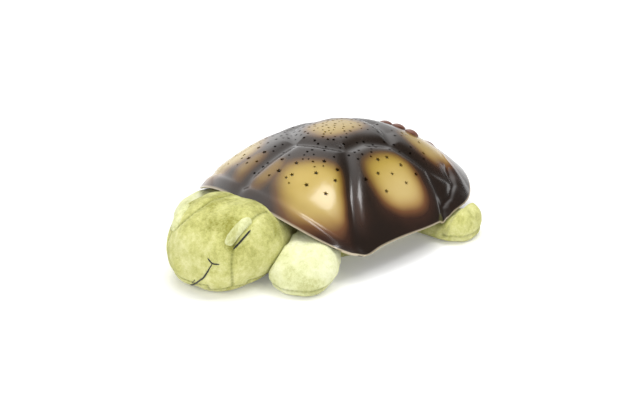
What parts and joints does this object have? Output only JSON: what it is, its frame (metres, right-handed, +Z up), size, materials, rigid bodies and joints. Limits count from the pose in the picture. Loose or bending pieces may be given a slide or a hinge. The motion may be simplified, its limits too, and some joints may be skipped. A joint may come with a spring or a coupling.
{
  "type": "star night light projector",
  "caption": "Plush sleeping turtle night light with a rigid glossy shell pierced with stars, push buttons behind and a battery bay under its belly.",
  "frame": {"origin": "on the table surface, on the belly's resting face, under the highest point of the shell", "axes": "-X toward the head, -Y toward the turtle's left side, +Z up"},
  "size_m": [0.412, 0.3008, 0.1189],
  "materials": {
    "amber_lens": "tinted epoxy",
    "black_plastic": "satin",
    "blue_lens": "tinted epoxy",
    "button": "satin gloss",
    "cell_wrap": "plain wrap",
    "circuit_board": "solder mask",
    "green_lens": "tinted epoxy",
    "hook_tape": "hook tape",
    "housing": "fine moulded grain",
    "housing_pale": "satin",
    "loop_tape": "loop tape",
    "pale_plush": "short-pile plush",
    "plush": "short-pile plush",
    "plush_flap": "short-pile plush, hemmed",
    "resistor_body": "lacquer",
    "shell": "polished, sprayed dark brown with honey-yellow scutes",
    "steel": "zinc plated"
  },
  "bodies": {
    "root": {"amber_lamp": "amber_lens", "base_plate": "housing", "battery_cells": "cell_wrap", "battery_contacts": "steel", "belly_pad": "plush", "blue_lamp": "blue_lens", "board_screws": "steel", "body_loop_strips": "loop_tape", "capacitor": "black_plastic", "carrier_screws": "steel", "flap_loop_strip": "loop_tape", "green_lamp": "green_lens", "head": "plush", "lamp_board": "circuit_board", "lamp_post": "housing_pale", "lamp_screws": "steel", "left_eyelid": "pale_plush", "left_front_flipper": "plush", "left_rear_foot": "plush", "main_board": "circuit_board", "plate_hook_strips": "hook_tape", "resistors": "resistor_body", "right_eyelid": "pale_plush", "right_front_flipper": "plush", "right_rear_foot": "plush", "shell_screws": "steel", "star_shell": "shell", "switch_boards": "circuit_board", "switch_bodies": "black_plastic", "switch_carrier": "housing_pale", "tail": "plush", "timer_chip": "black_plastic"},
    "battery_door": {"battery_door": "housing", "door_screw": "steel"},
    "belly_flap": {"belly_flap": "plush_flap", "flap_hook_strip": "hook_tape"},
    "amber_button": {"amber_button": "button", "amber_plunger": "black_plastic"},
    "green_button": {"green_button": "button", "green_plunger": "black_plastic"},
    "blue_button": {"blue_button": "button", "blue_plunger": "black_plastic"},
    "power_button": {"power_button": "button", "power_plunger": "black_plastic"}
  },
  "joints": [
    {"name": "amber_press", "type": "slide", "parent": "root", "child": "amber_button", "axis": [-0.4892, 0.151, -0.859], "range_m": [0, 0.0012], "stiffness_N_per_m": 1000, "springref_m": -0.0003},
    {"name": "green_press", "type": "slide", "parent": "root", "child": "green_button", "axis": [-0.4948, 0, -0.869], "range_m": [0, 0.0012], "stiffness_N_per_m": 1000, "springref_m": -0.0003},
    {"name": "blue_press", "type": "slide", "parent": "root", "child": "blue_button", "axis": [-0.4892, -0.151, -0.859], "range_m": [0, 0.0012], "stiffness_N_per_m": 1000, "springref_m": -0.0003},
    {"name": "power_press", "type": "slide", "parent": "root", "child": "power_button", "axis": [-0.6514, 0, -0.7587], "range_m": [0, 0.0012], "stiffness_N_per_m": 1000, "springref_m": -0.0003},
    {"name": "battery_door_tilt", "type": "hinge", "parent": "root", "child": "battery_door", "pos_m": [0.016, 0, 0.03265], "axis": [0, 1, 0], "range_deg": [0, 15]},
    {"name": "belly_flap_swing", "type": "hinge", "parent": "root", "child": "belly_flap", "pos_m": [0.005, 0, 0.0008], "axis": [0, 1, 0], "range_deg": [0, 110]}
  ]
}
